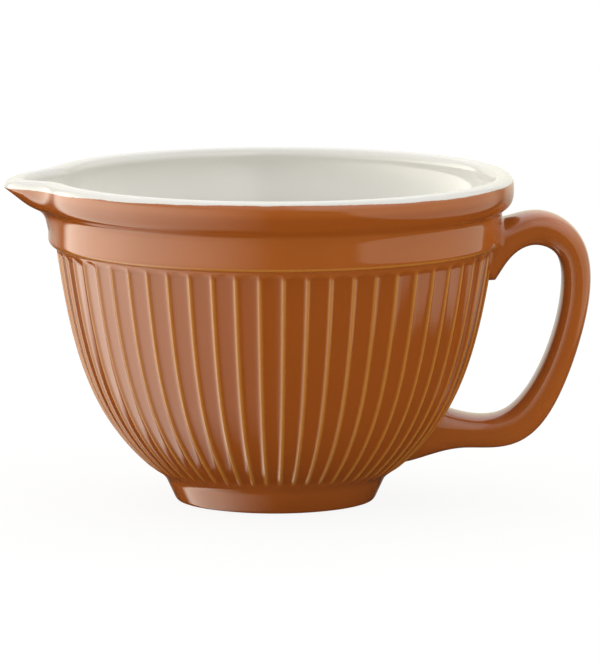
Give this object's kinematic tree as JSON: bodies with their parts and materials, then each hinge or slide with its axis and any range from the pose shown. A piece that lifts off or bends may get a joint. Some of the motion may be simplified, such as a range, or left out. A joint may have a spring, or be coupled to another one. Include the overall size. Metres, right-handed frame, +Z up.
{
  "type": "batter bowl",
  "caption": "Deep ribbed stoneware mixing bowl with a pulled pouring spout, a plain collar under a rounded lip and a strap loop handle, for stirring and pouring batter.",
  "frame": {"origin": "centre of the foot ring, on the plane that the bowl stands on", "axes": "+Z up along the bowl's axis, +X towards the handle, spout towards -X"},
  "size_m": [0.2294, 0.1864, 0.1287],
  "materials": {
    "stoneware": "bare fired stoneware, pale buff and slightly gritty",
    "slip": "fired joining slip, buff",
    "rib_glaze": "gloss glaze that runs thin over the ridges and shows the clay",
    "terracotta_glaze": "gloss burnt-orange glaze",
    "white_glaze": "gloss off-white liner glaze"
  },
  "bodies": {
    "root": {"bowl_body": "stoneware", "wall_ribs": "rib_glaze", "outer_glaze": "terracotta_glaze", "liner_glaze": "white_glaze", "handle": "stoneware", "upper_slip_joint": "slip", "lower_slip_joint": "slip", "handle_glaze": "terracotta_glaze"}
  },
  "joints": []
}
